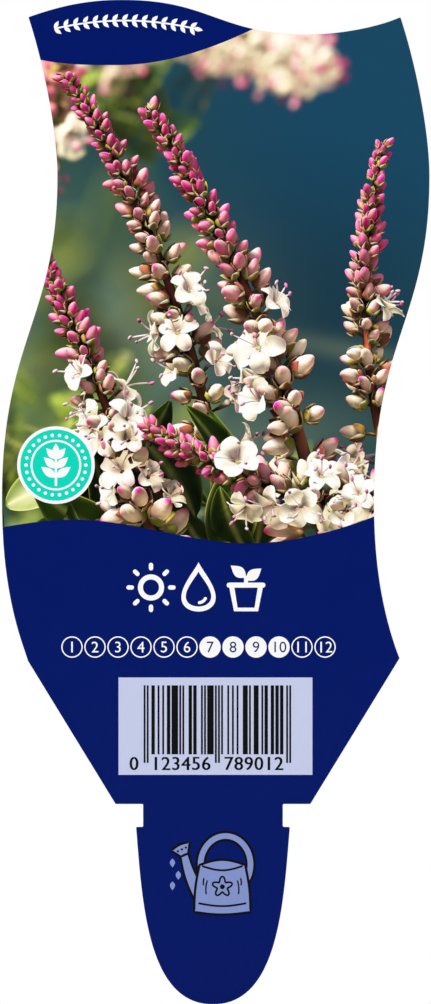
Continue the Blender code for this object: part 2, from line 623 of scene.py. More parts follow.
class Emblem:
    """Shapes in one ink with outlines in another; each new shape lies over the ones before."""

    def __init__(self, fill, ink, pen):
        self.fill = Print("emblem_fill", fill, "motif_print", FIRST_INK)
        self.ink = Print("emblem_lines", ink, "motif_print", FIRST_INK)
        self.pen = pen
        self.level = FIRST_INK

    def stack(self, under, over):
        """Move both inks up past the last shape, one of them under the other."""
        under.height = self.level
        over.height = self.level + EMBLEM_STEP
        self.level = over.height + EMBLEM_STEP

    def tube(self, path, width):
        """A tube: a fill stroke on a wider ink stroke."""
        self.stack(self.ink, self.fill)
        self.ink.stroke(path, np.asarray(width) + 2 * self.pen)
        self.fill.stroke(path, width)

    def plate(self, outline):
        """A filled patch with an ink line round it."""
        self.stack(self.fill, self.ink)
        self.fill.patch(outline)
        self.ink.stroke(outline, self.pen, closed=True)

    def line(self, path, share=0.8):
        """A free ink line with round ends."""
        self.ink.pen_line(path, self.pen * share)

    def lay(self):
        self.fill.lay()
        self.ink.lay()


def bowed(start, end, bow, count=16):
    """Points from start to end, pushed aside by bow sin(pi t) in the middle."""
    t = np.linspace(0.0, 1.0, count)[:, None]
    start, end = np.array(start), np.array(end)
    way = end - start
    aside = np.array([-way[1], way[0]]) / np.hypot(*way)
    return start + way * t + aside * bow * np.sin(np.pi * t)


def stake_emblem(periwinkle, black):
    """A watering can in periwinkle with black line work: handle, spout, rose, body and a flower."""
    can = Emblem(periwinkle, black, 0.42)
    can.tube(arc(2.15, -10.3, (4.25, 4.85), 192.0, -62.0, 50), 0.95)
    mouth, way, wide = np.array([-4.9, -8.6]), np.array([-0.42, 0.908]), np.array([0.908, 0.42])
    spout = bowed((-1.7, -16.4), mouth, 0.4)
    can.tube(spout, np.linspace(2.2, 1.0, len(spout)))
    rose_back, rose_face = mouth - 0.1 * way, mouth + 1.5 * way
    can.plate(np.vstack([bowed(rose_back - 0.7 * wide, rose_back + 0.7 * wide, 0.0, 5),
                         bowed(rose_face + 1.75 * wide, rose_face - 1.75 * wide, -0.35, 12)]))

    middle, foot, shoulder = 1.6, -18.4, -10.4
    foot_left, foot_right = (middle - 4.8, foot), (middle + 4.8, foot)
    shoulder_left, shoulder_right = (middle - 3.9, shoulder), (middle + 3.9, shoulder)
    can.plate(np.vstack([bowed(foot_left, foot_right, -0.45),
                         bowed(foot_right, shoulder_right, -0.25)[1:],
                         bowed(shoulder_right, shoulder_left, -0.9)[1:],
                         bowed(shoulder_left, foot_left, -0.25)[1:-1]]))
    can.stack(can.fill, can.ink)
    for z, half, bow in ((shoulder - 0.15, 3.5, -0.75), (foot + 1.5, 4.1, -0.5)):
        can.line(bowed((middle - half, z), (middle + half, z), bow))

    bloom_z = -14.1
    t = np.linspace(0.0, 2 * np.pi, 70, endpoint=False)
    reach = 1.32 + 0.42 * np.cos(5 * t)
    bloom = np.stack([middle + reach * np.sin(t), bloom_z + reach * np.cos(t)], 1)[::-1]
    can.ink.stroke(bloom, can.pen * 0.75, closed=True)
    can.ink.disc(middle, bloom_z, 0.42, sides=20)
    for side in (-1.0, 1.0):
        for near, far, top, low, bow in ((2.55, 2.75, -13.0, -15.4, 0.15), (3.1, 3.2, -12.6, -13.9, 0.08)):
            can.line(bowed((middle + side * near, top), (middle + side * far, low), side * bow), 0.6)
    for number in (-1, 0, 1):
        can.ink.disc(*(mouth + 0.95 * way + 0.75 * number * wide), 0.2, sides=12)
    for x, z in ((-6.9, -9.3), (-5.9, -11.4), (-6.9, -13.2)):
        can.fill.leaf(x, z, 1.5, 0.95, -math.pi / 2)
    can.lay()


# The printed picture: a flowering shrub that is grown in the round, lit, and then pressed flat


def linear(red, green, blue):
    """A screen colour, each part 0 to 255, as light."""
    return (np.array([red, green, blue]) / 255.0) ** 2.2


KINDS = ("leaves", "stems", "buds", "sepals", "petals", "stamens")

# Where the picture is seen and lit from, its farthest and nearest depth, and its light
VIEWER = np.array([0.0, -1.0, 0.0])
SUN = np.array([-0.50, -0.38, 0.78])
SUN_SPREAD = ((0, 0, 0), (0.06, 0, 0.03), (-0.04, 0.05, -0.03), (0.02, -0.06, 0.04), (-0.05, -0.02, 0.05))
FAR_DEPTH, NEAR_DEPTH = 26.0, -24.0
SKY_STRENGTH, SUN_STRENGTH, GLOW_STRENGTH, RIM_STRENGTH, SHINE_STRENGTH = 3.0, 4.4, 3.0, 0.25, 0.9
SUNLIGHT = linear(255, 234, 192)
GROUND_LIGHT, SKY_LIGHT = linear(132, 124, 84), linear(222, 226, 246)
EXPOSURE, CONTRAST = 1.35, 1.17

# The plant's colours
CREAM, ROSE, PLUM = linear(255, 232, 206), linear(226, 32, 144), linear(132, 18, 92)
BUD_GREEN, SEPAL_MAROON, SEPAL_OLIVE = linear(178, 190, 96), linear(126, 30, 66), linear(140, 150, 60)
SEPAL_EDGE, PETAL_WHITE, PETAL_MAUVE = linear(232, 206, 170), linear(255, 250, 234), linear(224, 128, 188)
THROAT_GREEN, THROAT_PALE = linear(204, 212, 120), linear(250, 226, 232)
THREAD_WHITE, THREAD_PINK = linear(255, 250, 250), linear(232, 170, 206)
POD_PURPLE, POD_PINK = linear(190, 84, 140), linear(226, 160, 190)
LEAF_DARK, LEAF_BRIGHT, LEAF_BACK, LEAF_RIB = (linear(16, 42, 22), linear(100, 140, 28),
                                               linear(150, 170, 96), linear(196, 206, 120))
STALK_FOOT, STALK_TIP = linear(160, 84, 66), linear(168, 164, 84)
STEM_FOOT, STEM_TIP = linear(168, 112, 76), linear(200, 96, 96)


class Growth:
    """All parts of one kind: arrays by name with a row for each point, and the faces."""

    def __init__(self):
        self.arrays = defaultdict(list)
        self.faces = []
        self.count = 0
        self.tubes = 0

    def keep(self, **arrays):
        """Take up rows for each named array."""
        for name, rows in arrays.items():
            self.arrays[name].append(rows.reshape(-1, rows.shape[-1]))

    def grow(self, centres, across, half_width, half_depth, sides, tint, cup=0.0, through=0.0,
             gloss=0.1, cover=1):
        """Many closed tubes at once, from centres shaped (..., rings, 3).

        A ring's point at angle a lies at centre + w cos a across + (h sin a + cup w cos^2 a) facing,
        where facing is square to the tube's run and to across. The first and the last centre are
        poles. tint gives colours from the share along the tube, cos a and sin a. A spot is a
        point's tube, cos a and share. Cover is what hides light: each face's corners and the
        middles of its cover x cover fields.
        """
        centres = centres.reshape(-1, *centres.shape[-2:])
        tubes, rings = centres.shape[:2]
        run = unit(np.gradient(centres, axis=1))
        facing = unit(np.cross(run, np.broadcast_to(np.reshape(across, (-1, 1, 3)), run.shape)))
        across = np.cross(facing, run)
        turn = np.linspace(0.0, 2 * np.pi, sides, endpoint=False)
        cos, sin = np.cos(turn)[:, None], np.sin(turn)[:, None]
        width, depth = (np.broadcast_to(half, (tubes, rings))[:, 1:-1, None, None]
                        for half in (half_width, half_depth))
        hoops = (centres[:, 1:-1, None] + width * cos * across[:, 1:-1, None]
                 + (depth * sin + cup * width * cos ** 2) * facing[:, 1:-1, None])
        ends = np.repeat(centres[:, (0, -1), None], sides, axis=2)
        whole = np.concatenate([ends[:, :1], hoops, ends[:, 1:]], axis=1)
        around = np.roll(hoops, -1, axis=2) - np.roll(hoops, 1, axis=2)
        normals = unit(np.cross(around, whole[:, 2:] - whole[:, :-2]))
        points = np.concatenate([centres[:, :1], hoops.reshape(tubes, -1, 3), centres[:, -1:]], 1)
        normals = np.concatenate([-run[:, :1], normals.reshape(tubes, -1, 3), run[:, -1:]], 1)

        share, side, front = (np.concatenate([[0.0], middle, [end]])[:, None] for middle, end in (
            (np.repeat(np.linspace(0, 1, rings)[1:-1], sides), 1.0),
            (np.tile(cos[:, 0], rings - 2), 0.0),
            (np.tile(sin[:, 0], rings - 2), 0.0)))
        n = len(share)
        number = np.broadcast_to(self.tubes + np.arange(tubes)[:, None, None], (tubes, n, 1))
        spots = np.broadcast_to(np.hstack([side, share]), (tubes, n, 2))
        self.keep(points=points, normals=normals, spots=np.concatenate([number, spots], -1),
                  tints=np.broadcast_to(tint(share, side, front), points.shape),
                  through=np.full((tubes, n, 1), through), gloss=np.full((tubes, n, 1), gloss))

        body = np.arange(1, n - 1).reshape(rings - 2, sides)
        ahead = np.roll(body, -1, axis=1)
        quads = np.stack([body[:-1], ahead[:-1], ahead[1:], body[1:]], -1).reshape(-1, 4)
        first = np.insert(np.stack([ahead[0], body[0]], -1), 0, 0, axis=1)
        last = np.insert(np.stack([body[-1], ahead[-1]], -1), 0, n - 1, axis=1)
        offset = (self.count + np.arange(tubes) * n)[:, None, None]
        for group in (quads, np.vstack([first, last])):
            self.faces.append((group + offset).reshape(-1, group.shape[1]))
        self.count += tubes * n
        self.tubes += tubes

        fine = (np.arange(cover) + 0.5) / cover
        a, b = (grid.reshape(-1, 1) for grid in np.meshgrid(fine, fine))
        corners = points[:, quads][:, :, None]
        self.keep(cover=(corners[..., 0, :] * (1 - a) * (1 - b) + corners[..., 1, :] * a * (1 - b)
                         + corners[..., 2, :] * a * b + corners[..., 3, :] * (1 - a) * b))
        self.keep(cover=points)


def new_plant():
    """A growth for each kind of part."""
    return {kind: Growth() for kind in KINDS}


def gathered(growths, name):
    """One of the named arrays, its rows from all the growths."""
    return np.vstack([rows for growth in growths for rows in growth.arrays[name]])


def fade(first, last):
    """A tint that goes from one colour to another along the tube."""
    return lambda share, side, front: mixed(first, last, share)


def side_frame(axes):
    """Two directions square to each axis and to each other."""
    first = unit(np.cross(axes, (0.13, 0.97, 0.21)))
    return first, np.cross(axes, first)


def spokes(turns, first, second):
    """Directions at angles turned from first towards second, a row of angles for each pair."""
    return np.cos(turns)[..., None] * first[:, None] + np.sin(turns)[..., None] * second[:, None]


def evenly_round(rng, count, blades, loose):
    """Rows of angles spaced evenly all round, each row from a random start."""
    return np.arange(blades) * 2 * np.pi / blades + rng.uniform(0, loose, (count, 1))


def curved(starts, ways, length, lift, sag, rings):
    """Rows of points from starts along ways, bowed by lift sin(pi t) and falling by sag t^2."""
    t = np.linspace(0.0, 1.0, rings)[None, :, None]
    length, sag = (np.reshape(one, (-1, 1, 1)) for one in (length, sag))
    return (starts[:, None] + ways[:, None] * length * t + lift[:, None] * np.sin(np.pi * t)
            + np.array([0.0, 0.0, -1.0]) * sag * t * t)


def grow_buds(parts, feet, ways, lengths, ripeness, rng):
    """Egg-shaped buds: half width 0.27 L sin(pi t^0.85)^0.55, each held by sepals."""
    count = len(feet)
    t = (1 - np.cos(np.linspace(0.0, np.pi, 10))) / 2
    bow = unit(rng.normal(size=(count, 3))) * lengths[:, None] * 0.05
    centres = (feet[:, None] + ways[:, None] * lengths[:, None, None] * t[:, None]
               + bow[:, None] * np.sin(np.pi * t)[:, None])
    half = 0.27 * np.sin(np.pi * t ** 0.85) ** 0.55
    half[[0, -1]] = 0.0
    half = half * lengths[:, None] * rng.uniform(0.88, 1.08, (count, 1))
    blush = rng.uniform(0.0, 1.0, (count, 1, 1))
    ripe = ripeness[:, None, None]

    def tint(share, side, front):
        streak = 0.5 + 0.5 * np.cos(2 * np.arctan2(front, side) + blush * 6.0)
        ends = eased(0.62, 0.98, share) + 0.8 * (1 - eased(0.05, 0.45, share))
        young = 0.62 + 0.38 * streak
        old = np.clip(ends * (0.25 + 0.9 * blush) + 0.35 * streak * blush, 0, 1)
        petal = mixed(CREAM, ROSE, np.clip(mixed(young, old, ripe), 0, 1))
        petal = mixed(petal, PLUM, 0.5 * (1 - ripe) * (1 - streak) + 0.15 * blush)
        return mixed(BUD_GREEN, petal, eased(0.0, 0.22, share + 0.2 * blush))

    basis = side_frame(ways)
    parts["buds"].grow(centres, basis[0], half, half * 0.94, 12, tint, through=0.35, gloss=0.3)
    grow_sepals(parts, feet, ways, lengths, basis, rng)


def grow_sepals(parts, feet, ways, lengths, basis, rng):
    """Four pointed sepals on each bud: half width 0.25 L sin(pi (0.22 + 0.78 t))."""
    count = len(feet)
    out = spokes(evenly_round(rng, count, 4, 1.5), *basis)
    t = np.linspace(0.0, 1.0, 8)
    reach = rng.uniform(0.46, 0.7, (count, 4))[..., None, None] * lengths[:, None, None, None]
    along = ways[:, None, None] * reach * t[:, None]
    apart = (0.345 * np.sin(np.pi * (0.03 + 0.56 * t) ** 0.8) ** 0.55 + 0.05 * t ** 4)[:, None]
    blades = feet[:, None, None] + along + out[:, :, None] * apart * lengths[:, None, None, None]
    across = np.cross(ways[:, None], out)
    half = 0.25 * np.sin(np.pi * (0.22 + 0.78 * t)) * lengths.repeat(4)[:, None]
    pale = rng.uniform(0, 1, (count, 1, 1)).repeat(4, axis=0) ** 2.4

    def tint(share, side, front):
        body = mixed(SEPAL_MAROON, SEPAL_OLIVE, np.clip(pale + 0.35 * (1 - share), 0, 1))
        return mixed(body, SEPAL_EDGE, 0.6 * side ** 4)

    parts["sepals"].grow(blades, across, half, half * 0.2, 6, tint, cup=0.3, through=0.2, gloss=0.2)


def grow_flowers(parts, feet, ways, sizes, rng):
    """Open flowers: a short throat with a green mouth, five petals and three stamens."""
    basis = side_frame(ways)
    throat = feet[:, None] + ways[:, None] * (np.linspace(-0.55, 0.42, 7) * sizes[:, None])[..., None]
    neck = np.array([0.0, 0.06, 0.09, 0.11, 0.14, 0.16, 0.0]) * sizes[:, None]
    parts["petals"].grow(throat, basis[0], neck, neck, 8,
                         lambda share, side, front: mixed(THROAT_GREEN, THROAT_PALE,
                                                          eased(0.0, 0.5, share)
                                                          * (1 - eased(0.84, 1.0, share))))
    grow_petals(parts, feet, ways, sizes, basis, rng)
    grow_stamens(parts, feet, ways, sizes, basis, rng)


def grow_petals(parts, feet, ways, sizes, basis, rng):
    """Five round recurved petals a flower, narrow at the foot and flushed mauve there."""
    count = len(feet)
    size = sizes[:, None, None, None]
    turns = evenly_round(rng, count, 5, 1.2)
    out = spokes(turns + rng.normal(0, 0.09, turns.shape), *basis)
    t = np.linspace(0.0, 1.0, 13)
    droop = rng.uniform(0.0, 0.5, (count, 1)) + rng.normal(0, 0.08, (count, 5))
    shut = rng.uniform(0.0, 0.45, (count, 1, 1, 1))
    reach = rng.uniform(0.88, 1.08, (count, 5))[..., None, None]
    rise = (0.34 + 0.30 * np.sin(np.pi * 0.75 * t)[:, None]
            - droop[..., None, None] * (t ** 2)[:, None] + shut * t[:, None])
    aside = out[:, :, None] * size * reach * (0.05 + (1 - 0.4 * shut) * t[:, None])
    petals = feet[:, None, None] + aside + ways[:, None, None] * size * rise
    across = np.cross(ways[:, None], out)
    twist = rng.normal(0, 0.2, (count, 5, 1))
    across = unit(across + twist * ways[:, None])
    half = 0.40 * np.sin(np.pi * (0.05 + 0.95 * t) ** 1.15) ** 0.55 * (0.5 + 0.5 * eased(0.0, 0.5, t))
    half = np.nan_to_num(half) * sizes.repeat(5)[:, None]
    warm = rng.uniform(0, 1, (count, 1, 1)).repeat(5, axis=0) ** 2

    def tint(share, side, front):
        vein = 0.5 + 0.5 * np.cos(9.0 * side)
        flush = (1 - eased(0.0, 0.5, share)) * 0.48 + 0.05 * vein + 0.7 * warm * eased(0.3, 1.0, share)
        return mixed(PETAL_WHITE, PETAL_MAUVE, np.clip(flush, 0, 1))

    parts["petals"].grow(petals, across, half, half * 0.07, 14, tint, cup=0.26, through=0.95)


def grow_stamens(parts, feet, ways, sizes, basis, rng):
    """Three long threads a flower, each with a turned pod on its tip."""
    count = len(feet)
    size = sizes[:, None, None, None]
    out = spokes(evenly_round(rng, count, 3, 1.5), *basis)
    t = np.linspace(0.0, 1.0, 7)
    spread = rng.uniform(0.15, 0.7, (count, 3))[..., None, None]
    length = rng.uniform(1.0, 1.5, (count, 3))[..., None, None] * size
    threads = (feet[:, None, None] + ways[:, None, None] * (0.35 * size + length * t[:, None] * 0.8)
               + out[:, :, None] * length * spread * (t ** 1.6)[:, None])
    threads = threads.reshape(-1, 7, 3)
    across = unit(np.cross(threads[:, -1] - threads[:, 0], VIEWER))
    parts["stamens"].grow(threads, across, 0.14, 0.14, 4, fade(THREAD_WHITE, THREAD_PINK), through=0.3)
    tips = threads[:, -1]
    turned = unit(rng.normal(size=tips.shape) + 1.5 * unit(threads[:, -1] - threads[:, -2]))
    t = np.linspace(-1.0, 1.0, 6)
    pods = tips[:, None] + turned[:, None] * (0.6 * t)[:, None]
    bulge = 0.3 * np.sqrt(np.clip(1 - t ** 2, 0, 1))
    shade = rng.uniform(0, 1, (len(tips), 1, 1))
    parts["stamens"].grow(pods, side_frame(turned)[0], bulge, bulge * 0.8, 6,
                          lambda share, side, front: mixed(POD_PURPLE, POD_PINK, shade), gloss=0.2)


def scatter_leaves(parts, rng, count, across, up, depth, brightness):
    """Lance-shaped leaves whose feet are strewn over a patch, all pointing more or less upwards.

    Their half width is W/2 sin(pi t^0.8)^0.8. They are troughed, and have a pale midrib.
    """
    feet = np.stack([rng.uniform(*across, count), rng.uniform(depth - 6, depth + 2, count),
                     rng.uniform(*up, count)], 1)
    turn = np.radians(rng.uniform(15, 165, count))
    ways = unit(np.stack([np.cos(turn), rng.uniform(-0.5, 0.2, count), np.sin(turn)], 1))
    upward = unit(np.stack([rng.normal(0, 0.5, count), np.full(count, -1.0),
                            rng.uniform(0.0, 1.2, count)], 1))
    lengths, widths, sag = (rng.uniform(*span, count) for span in ((15, 25), (6, 9.5), (0, 5)))
    shade = rng.uniform(0.0, 2 * brightness, (count, 1, 1))
    phase = rng.uniform(0, 6, (count, 1, 1))
    rings = 26
    across = unit(np.cross(upward, ways))
    blades = curved(feet, ways, lengths, np.cross(ways, across) * (0.06 * lengths)[:, None], sag, rings)
    half = np.sin(np.pi * np.linspace(0.0, 1.0, rings) ** 0.8) ** 0.8 * widths[:, None] / 2

    def tint(share, side, front):
        rib = np.exp(-(side / 0.16) ** 2) * (front > 0)
        veins = 0.5 + 0.5 * np.cos(26.0 * (share + 0.28 * np.abs(side)) + phase)
        blade = mixed(LEAF_DARK, LEAF_BRIGHT, np.clip(shade + 0.10 * (veins - 0.5), 0, 1))
        under = mixed(blade, LEAF_BACK, 0.45 * (front < 0))
        return mixed(under, LEAF_RIB, 0.55 * rib + 0.35 * np.abs(side) ** 14)

    parts["leaves"].grow(blades, across, half, half * 0.03 + 0.05, 24, tint, cup=0.22, through=0.4,
                         gloss=0.75, cover=3)


def quadratic(root, bend, tip, share):
    """Points and directions along a curve from root to tip that leans towards bend."""
    s = share[:, None]
    root, bend, tip = (np.array(point, float) for point in (root, bend, tip))
    points = (1 - s) ** 2 * root + 2 * s * (1 - s) * bend + s * s * tip
    ways = unit(2 * (1 - s) * (bend - root) + 2 * s * (tip - bend))
    return points, ways


def grow_spike(parts, rng, root, bend, tip, count, scale, open_until=0.46, open_share=0.33,
               bud_share=0.55):
    """A flower spike: buds on a golden-angle spiral round a stem, opening from the foot up.

    Bud number i sits at the share s = bare + (1 - bare)(i / count)^0.85 of the stem. Towards the
    tip the buds get shorter and lean more along the stem.
    """
    bare = 0.05
    s = bare + (1 - bare) * (np.arange(count) / count) ** 0.85
    points, along = quadratic(root, bend, tip, s)
    basis = side_frame(along)
    turn = np.arange(count) * math.radians(137.5) + rng.normal(0, 0.2, count)
    out = spokes(turn[:, None], *basis)[:, 0]
    lean = np.radians(mixed(80.0, 40.0, s) + rng.normal(0, 9.0, count))
    ways = unit(out * np.sin(lean)[:, None] + along * np.cos(lean)[:, None])
    ways = unit(ways + rng.normal(0, 0.10, ways.shape) + (0, 0, 0.08))
    lengths = scale * mixed(5.0, 1.9, s ** 1.1) * rng.uniform(0.8, 1.14, count)
    stalk = scale * mixed(3.0, 0.5, s ** 0.6) * rng.uniform(0.7, 1.35, count)
    feet = points + ways * stalk[:, None]
    seen = out @ VIEWER > -0.55
    chance = rng.uniform(0, 1, count)
    edge = open_until + 0.12 * np.sin(turn * 0.5)
    opened = seen & (s < edge) & (chance < open_share)
    closed = seen & ~opened & ((s > edge - 0.04) | (chance > 1 - bud_share))

    ripeness = 1.0 - eased(0.38, 0.78, s)
    grow_buds(parts, feet[closed], ways[closed], lengths[closed], ripeness[closed], rng)
    turned = unit(ways[opened] + 0.45 * VIEWER + rng.normal(0, 0.15, (opened.sum(), 3)))
    flower_feet = feet[opened] + ways[opened] * scale * 0.8
    grow_flowers(parts, flower_feet, turned, scale * rng.uniform(2.7, 3.7, opened.sum()), rng)

    kept = opened | closed
    stalks = curved(points[kept], ways[kept], stalk[kept] * 1.2, along[kept] * 0.05,
                    np.zeros(kept.sum()), 5)
    wide = np.array([0.0, 0.26, 0.22, 0.28, 0.0]) * scale
    parts["stems"].grow(stalks, basis[0][kept], wide, wide, 6, fade(STALK_FOOT, STALK_TIP))
    t = np.linspace(0.0, 1.0, 60)
    girth = scale * mixed(1.0, 0.3, t)
    girth[[0, -1]] = 0.0
    parts["stems"].grow(quadratic(root, bend, tip, t)[0], (0.3, 0.2, 0.1), girth, girth, 12,
                        fade(STEM_FOOT, STEM_TIP), gloss=0.3, cover=3)


def shrub():
    """All the plant in the picture that is in focus."""
    rng = np.random.default_rng(23)
    parts = new_plant()
    for root, bend, tip, count, settings in (
            ((20.0, -2.0, 40.0), (12.0, -6.0, 84.0), (-11.0, -4.0, 118.0), 150, {"scale": 1.3}),
            ((34.0, 4.0, 44.0), (21.0, 3.0, 80.0), (29.0, 6.0, 112.0), 120, {"scale": 1.1}),
            ((44.0, -12.0, 50.0), (14.0, -14.0, 48.0), (-11.0, -12.0, 64.0), 110,
             {"scale": 1.25, "open_until": 0.62}),
            ((-8.0, 3.0, 38.0), (-17.0, 1.0, 68.0), (-30.0, 3.0, 95.0), 125,
             {"scale": 1.15, "open_until": 0.56}),
            ((2.0, 12.0, 52.0), (-6.0, 12.0, 96.0), (-25.0, 12.0, 124.0), 140,
             {"scale": 1.1, "open_until": 0.4})):
        grow_spike(parts, rng, root, bend, tip, count, **settings)
    scatter_leaves(parts, rng, 30, (-38, 14), (34, 58), 14.0, 0.16)
    return parts


# The picture's light


def sky_directions(count):
    """Directions spread evenly over a ball by the golden angle, without those from far behind."""
    number = np.arange(count) + 0.5
    height = 1 - 2 * number / count
    turn = number * math.pi * (3 - math.sqrt(5))
    flat = np.sqrt(1 - height ** 2)
    ways = np.stack([flat * np.cos(turn), flat * np.sin(turn), height], 1)
    return ways[ways @ VIEWER > -0.35]


def cells_about(place, size):
    """The four cells about each place in a raster of a size: columns, rows and shares by nearness."""
    place = np.clip(place - 0.5, 0, None)
    base = np.minimum(place.astype(int), np.subtract(size, 2))
    part = np.clip(place - base, 0, 1)
    for right, up in ((0, 0), (0, 1), (1, 0), (1, 1)):
        share = np.abs(1 - right - part[:, 0]) * np.abs(1 - up - part[:, 1])
        yield base[:, 0] + right, base[:, 1] + up, share


def reached(points, cover, way, cell=0.36, margin=0.35):
    """How freely light from one way reaches each point: 1 lit, 0 hidden.

    Cover points are sorted into square cells across the way, and each cell keeps its nearest to the
    light. A point is hidden from a cell whose keeper lies more than the margin above it, and the
    four cells about it count by nearness.
    """
    way = way / np.linalg.norm(way)
    first = unit(np.cross(way, (0.31, 0.22, 0.93)))
    across = np.stack([first, np.cross(way, first)], 1)
    low = (cover @ across).min(0) - 2 * cell
    at = ((cover @ across - low) / cell).astype(int)
    wide, high = at.max(0) + 4
    nearest = np.full(wide * high, -1e6)
    np.maximum.at(nearest, at[:, 0] * high + at[:, 1], cover @ way)
    level = points @ way + margin
    hidden = np.zeros(len(points))
    for column, row, share in cells_about((points @ across - low) / cell, (wide, high)):
        hidden += share * eased(0.0, 0.5, nearest[column * high + row] - level)
    return 1 - hidden


def light_growth(parts):
    """The light from every point: a soft sky from all sides that are open to it, and a warm sun.

    Light = tint x (sky + sun x lambert + light let through) + rim + gloss. Thin white parts pass
    some of the sun on, so their shadows are paler.
    """
    points, normals, tints, through, gloss, cover = (
        gathered(parts.values(), name)
        for name in ("points", "normals", "tints", "through", "gloss", "cover"))
    sky = np.zeros((len(points), 3))
    ways = sky_directions(count=44)
    for way in ways:
        colour = mixed(GROUND_LIGHT, SKY_LIGHT, (0.5 + 0.5 * way[2]) ** 1.6)
        facing = (normals @ way)[:, None]
        strength = np.clip(facing, 0, 1) + 0.4 * through * np.clip(-facing, 0, 1)
        sky += strength * reached(points, cover, way)[:, None] * colour
    sky *= SKY_STRENGTH / len(ways)

    sun = SUN / np.linalg.norm(SUN)
    lit = np.zeros(len(points))
    for spread in SUN_SPREAD:
        lit += reached(points, cover, sun + np.array(spread), cell=0.3, margin=0.3) / len(SUN_SPREAD)
    lit = mixed(lit[:, None], 1.0, 0.3 * through ** 2)
    facing = (normals @ sun)[:, None]
    direct = np.clip(facing, 0, 1) * lit
    passed = through * np.clip(-facing, 0, 1) * (0.3 + 0.7 * lit)
    rim = (1 - np.clip(normals @ VIEWER, 0, 1)[:, None]) ** 3 * np.clip(facing + 0.25, 0, 1) * lit
    shine = gloss * np.clip(normals @ unit(sun + VIEWER), 0, 1)[:, None] ** 24 * lit
    return (tints * (sky + SUNLIGHT * (SUN_STRENGTH * direct + GLOW_STRENGTH * passed))
            + SUNLIGHT * (RIM_STRENGTH * rim + SHINE_STRENGTH * shine))


def developed(light):
    """Light x as print colour: y / (1 + y^3)^(1/3), y = exposure x^contrast, closing up to white."""
    strong = EXPOSURE * np.clip(light, 0, None) ** CONTRAST
    return strong / (1 + strong ** 3) ** (1 / 3)


# The picture's soft ground


class Haze:
    """A raster of light over the whole picture, on which far plants are laid and blurred."""

    cell = 0.33
    left, low = -46.0, 36.0
    columns, rows = 270, 320

    def __init__(self):
        x = self.left + (np.arange(self.columns) + 0.5) * self.cell
        z = self.low + (np.arange(self.rows) + 0.5) * self.cell
        self.x, self.z = np.meshgrid(x, z)
        across = eased(-34.0, 22.0, self.x)[..., None]
        up = eased(46.0, 116.0, self.z)[..., None]
        lower = mixed(linear(66, 94, 78), linear(46, 72, 74), across)
        upper = mixed(linear(46, 76, 78), linear(36, 77, 100), across)
        self.light = mixed(lower, upper, up)
        middle = np.exp(-((self.x - 14.0) / 22.0) ** 2 - ((self.z - 86.0) / 20.0) ** 2)
        self.light *= 1 - 0.32 * middle[..., None]

    def glow(self, x, z, wide, tall, turn, colour):
        """A soft patch of light: half exp(-(a / wide)^2 - (b / tall)^2) on axes turned."""
        cos, sin = math.cos(turn), math.sin(turn)
        a = (self.x - x) * cos + (self.z - z) * sin
        b = (self.z - z) * cos - (self.x - x) * sin
        share = 0.5 * np.exp(-(a / wide) ** 2 - (b / tall) ** 2)[..., None]
        self.light = mixed(self.light, linear(*colour), share)

    def lay(self, parts, radius):
        """Light a growth, lay it on by depth and blur it by a round lens spot of a radius.

        The blur is the product of both spectra. Coverage is blurred with the light, and thins the
        ground by 1 - coverage.
        """
        points = gathered(parts.values(), "points")
        order = np.argsort(-points[:, 1])
        column = ((points[order, 0] - self.left) / self.cell).astype(int)
        row = ((points[order, 2] - self.low) / self.cell).astype(int)
        inside = (column >= 0) & (column < self.columns) & (row >= 0) & (row < self.rows)
        layer = np.zeros((self.rows, self.columns, 4))
        light = light_growth(parts)[order][inside]
        layer[row[inside], column[inside]] = np.insert(light, 3, 1.0, axis=1)
        down, along = (np.minimum(np.arange(count), count - np.arange(count))
                       for count in (self.rows, self.columns))
        away = np.hypot(down[:, None], along) * self.cell
        spot = 1 - eased(radius * 0.8, radius * 1.1 + 0.2, away)
        spectrum = np.fft.rfft2(layer, axes=(0, 1)) * np.fft.rfft2(spot / spot.sum())[..., None]
        soft = np.fft.irfft2(spectrum, s=(self.rows, self.columns), axes=(0, 1))
        self.light = self.light * (1 - np.clip(soft[..., 3:], 0, 1)) + np.clip(soft[..., :3], 0, None)

    def at(self, places):
        """The light at rows of (x, z), read between the four nearest cells."""
        cells = cells_about((places - (self.left, self.low)) / self.cell, (self.columns, self.rows))
        return sum(self.light[row, column] * share[:, None] for column, row, share in cells)


